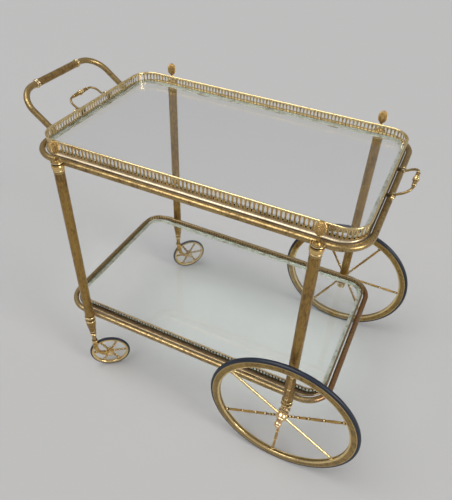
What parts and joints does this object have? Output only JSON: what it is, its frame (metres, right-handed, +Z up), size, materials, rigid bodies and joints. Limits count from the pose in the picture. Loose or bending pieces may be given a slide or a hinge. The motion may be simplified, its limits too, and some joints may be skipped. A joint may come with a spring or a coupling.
{
  "type": "tea trolley",
  "caption": "Brass tea trolley with turned posts, a lift-off glass tray with pierced gallery, a glass shelf, large spoked wheels and swivel casters.",
  "frame": {"origin": "on the floor, under the middle of the four posts", "axes": "+X from the caster end to the big wheels, +Z up, +Y to the side of the far big wheel"},
  "size_m": [0.7986, 0.5145, 0.6513],
  "materials": {
    "brass": "aged, mottled, part polished",
    "rubber": "dull with a worn sheen",
    "glass": "clear plate with polished edges"
  },
  "bodies": {
    "frame": {"axle_cap_far": "brass", "axle_cap_near": "brass", "axle_far": "brass", "axle_near": "brass", "finial_far_left": "brass", "finial_far_right": "brass", "finial_near_left": "brass", "finial_near_right": "brass", "low_loop": "brass", "post_far_left": "brass", "post_far_right": "brass", "post_near_left": "brass", "post_near_right": "brass", "push_collars": "brass", "push_grip": "brass", "push_handle": "brass", "shelf_brackets": "brass", "shelf_gallery": "brass", "shelf_glass": "glass", "shelf_rail": "brass", "top_loop": "brass", "tray_brackets": "brass"},
    "tray": {"tray_gallery": "brass", "tray_rail": "brass", "tray_glass": "glass", "tray_handle_lugs": "brass", "tray_handle_pins": "brass"},
    "handle_left": {"tray_handle_left": "brass", "tray_grip_left": "brass"},
    "handle_right": {"tray_handle_right": "brass", "tray_grip_right": "brass"},
    "wheel_near": {"wheel_hub_near": "brass", "wheel_spokes_near": "brass", "wheel_rim_near": "brass", "wheel_tyre_near": "rubber"},
    "caster_near": {"caster_arm_near": "brass", "caster_axle_near": "brass"},
    "caster_roll_near": {"caster_wheel_near": "brass", "caster_tyre_near": "rubber"},
    "wheel_far": {"wheel_hub_far": "brass", "wheel_spokes_far": "brass", "wheel_rim_far": "brass", "wheel_tyre_far": "rubber"},
    "caster_far": {"caster_arm_far": "brass", "caster_axle_far": "brass"},
    "caster_roll_far": {"caster_wheel_far": "brass", "caster_tyre_far": "rubber"}
  },
  "joints": [
    {"name": "wheel_near_spin", "type": "hinge", "parent": "frame", "child": "wheel_near", "pos_m": [0.24, -0.225, 0.157], "axis": [0, 1, 0], "continuous": true},
    {"name": "wheel_far_spin", "type": "hinge", "parent": "frame", "child": "wheel_far", "pos_m": [0.24, 0.225, 0.157], "axis": [0, 1, 0], "continuous": true},
    {"name": "caster_near_swivel", "type": "hinge", "parent": "frame", "child": "caster_near", "pos_m": [-0.24, -0.2, 0.118], "axis": [0, 0, 1], "continuous": true},
    {"name": "caster_near_roll", "type": "hinge", "parent": "caster_near", "child": "caster_roll_near", "pos_m": [-0.21492, -0.18178, 0.0475], "axis": [0.5878, -0.809, 0], "continuous": true},
    {"name": "caster_far_swivel", "type": "hinge", "parent": "frame", "child": "caster_far", "pos_m": [-0.24, 0.2, 0.118], "axis": [0, 0, 1], "continuous": true},
    {"name": "caster_far_roll", "type": "hinge", "parent": "caster_far", "child": "caster_roll_far", "pos_m": [-0.21886, 0.22267, 0.0475], "axis": [0.7314, -0.682, 0], "continuous": true},
    {"name": "tray_lift", "type": "slide", "parent": "frame", "child": "tray", "axis": [0, 0, 1], "range_m": [0, 0.3]},
    {"name": "handle_left_swing", "type": "hinge", "parent": "tray", "child": "handle_left", "pos_m": [-0.3144, 0, 0.597], "axis": [0, 1, 0], "range_deg": [-100, 90]},
    {"name": "handle_right_swing", "type": "hinge", "parent": "tray", "child": "handle_right", "pos_m": [0.3144, 0, 0.597], "axis": [0, -1, 0], "range_deg": [-100, 90]}
  ]
}
